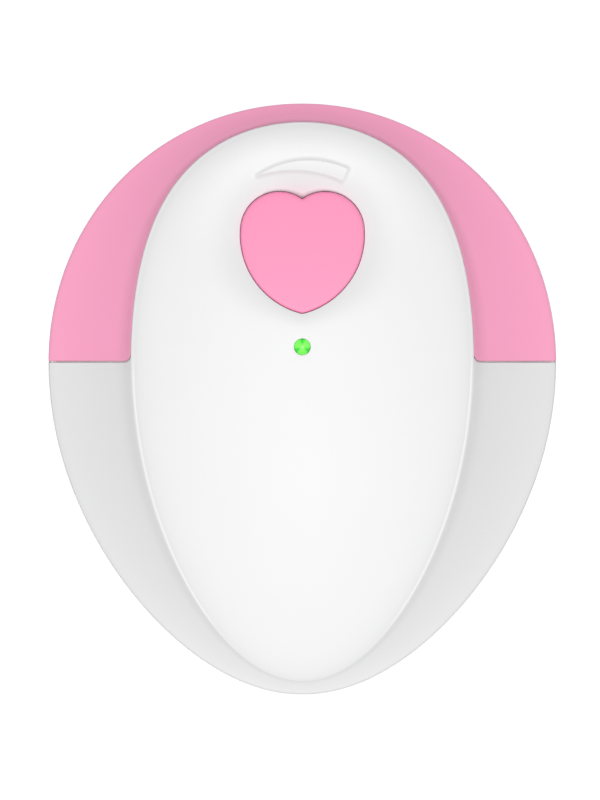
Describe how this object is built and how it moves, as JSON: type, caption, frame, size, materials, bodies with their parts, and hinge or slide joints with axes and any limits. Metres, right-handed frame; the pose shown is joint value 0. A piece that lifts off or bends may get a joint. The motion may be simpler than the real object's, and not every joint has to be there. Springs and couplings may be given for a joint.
{
  "type": "fetal doppler monitor",
  "caption": "Egg-shaped pocket fetal doppler: raised front panel with a heart-shaped key and status light, pink crown, headphone sockets, volume wheel, rear probe and battery door.",
  "frame": {"origin": "centre of the case's box, on the surface that it rests on", "axes": "+Z out of the front, +Y towards the wide end with the crown, +X to the right seen from the front"},
  "size_m": [0.09, 0.1046, 0.0361],
  "materials": {
    "white_abs": "satin moulded ABS",
    "pink_abs": "satin moulded ABS",
    "white_abs_rear": "fine-textured moulded ABS",
    "pink_key": "smooth moulded ABS",
    "screw_steel": "zinc-plated",
    "black_nylon": "moulded",
    "led_green": "clear tinted epoxy",
    "grey_wheel": "moulded, ribbed rim",
    "nickel": "nickel-plated",
    "battery_jacket": "plain printed steel jacket",
    "black_vinyl": "soft vinyl",
    "foam": "closed-cell foam",
    "red_pvc": "PVC insulation",
    "probe_epoxy": "polished",
    "silicone": "soft silicone",
    "silvered_ceramic": "silver-coated piezo ceramic",
    "grey_coax": "PVC jacket",
    "green_laminate": "solder-masked glass laminate",
    "black_epoxy": "moulded epoxy",
    "capacitor_sleeve": "shrink sleeve"
  },
  "bodies": {
    "case": {"upper_housing": "white_abs", "crown_trim": "pink_abs", "rear_housing": "white_abs_rear", "case_screws": "screw_steel", "board_screws": "screw_steel", "power_switch": "black_nylon", "status_led": "led_green", "led_spacer": "black_nylon", "volume_pot": "black_nylon", "headphone_jack_left": "black_nylon", "headphone_jack_right": "black_nylon", "jack_bushing_left": "nickel", "jack_bushing_right": "nickel", "jack_pins": "nickel", "battery": "battery_jacket", "battery_studs": "nickel", "battery_snap": "black_vinyl", "snap_contacts": "nickel", "battery_pad": "foam", "battery_lead_red": "red_pvc", "battery_lead_black": "black_vinyl", "probe_window": "probe_epoxy", "probe_gasket": "silicone", "probe_carrier": "black_nylon", "probe_divider": "foam", "transmit_crystal": "silvered_ceramic", "receive_crystal": "silvered_ceramic", "probe_backing": "foam", "probe_lead_transmit": "grey_coax", "probe_lead_receive": "grey_coax", "main_board": "green_laminate", "signal_chip": "black_epoxy", "audio_chip": "black_epoxy", "filter_capacitors": "capacitor_sleeve", "clock_crystal": "nickel", "tuning_coils": "nickel"},
    "key": {"heart_button": "pink_key", "switch_plunger": "black_nylon"},
    "wheel": {"volume_wheel": "grey_wheel", "wheel_spindle": "black_nylon", "wheel_screw": "screw_steel"},
    "door": {"battery_door": "white_abs_rear"}
  },
  "joints": [
    {"name": "key_press", "type": "slide", "parent": "case", "child": "key", "axis": [0, 0, -1], "range_m": [0, 0.0005], "stiffness_N_per_m": 1800, "springref_m": -0.0006},
    {"name": "volume_turn", "type": "hinge", "parent": "case", "child": "wheel", "pos_m": [0, 0.0432, 0.0177], "axis": [0, 0, 1], "range_deg": [-140, 140]},
    {"name": "door_slide", "type": "slide", "parent": "case", "child": "door", "axis": [0, 1, 0], "range_m": [0, 0.036]}
  ]
}
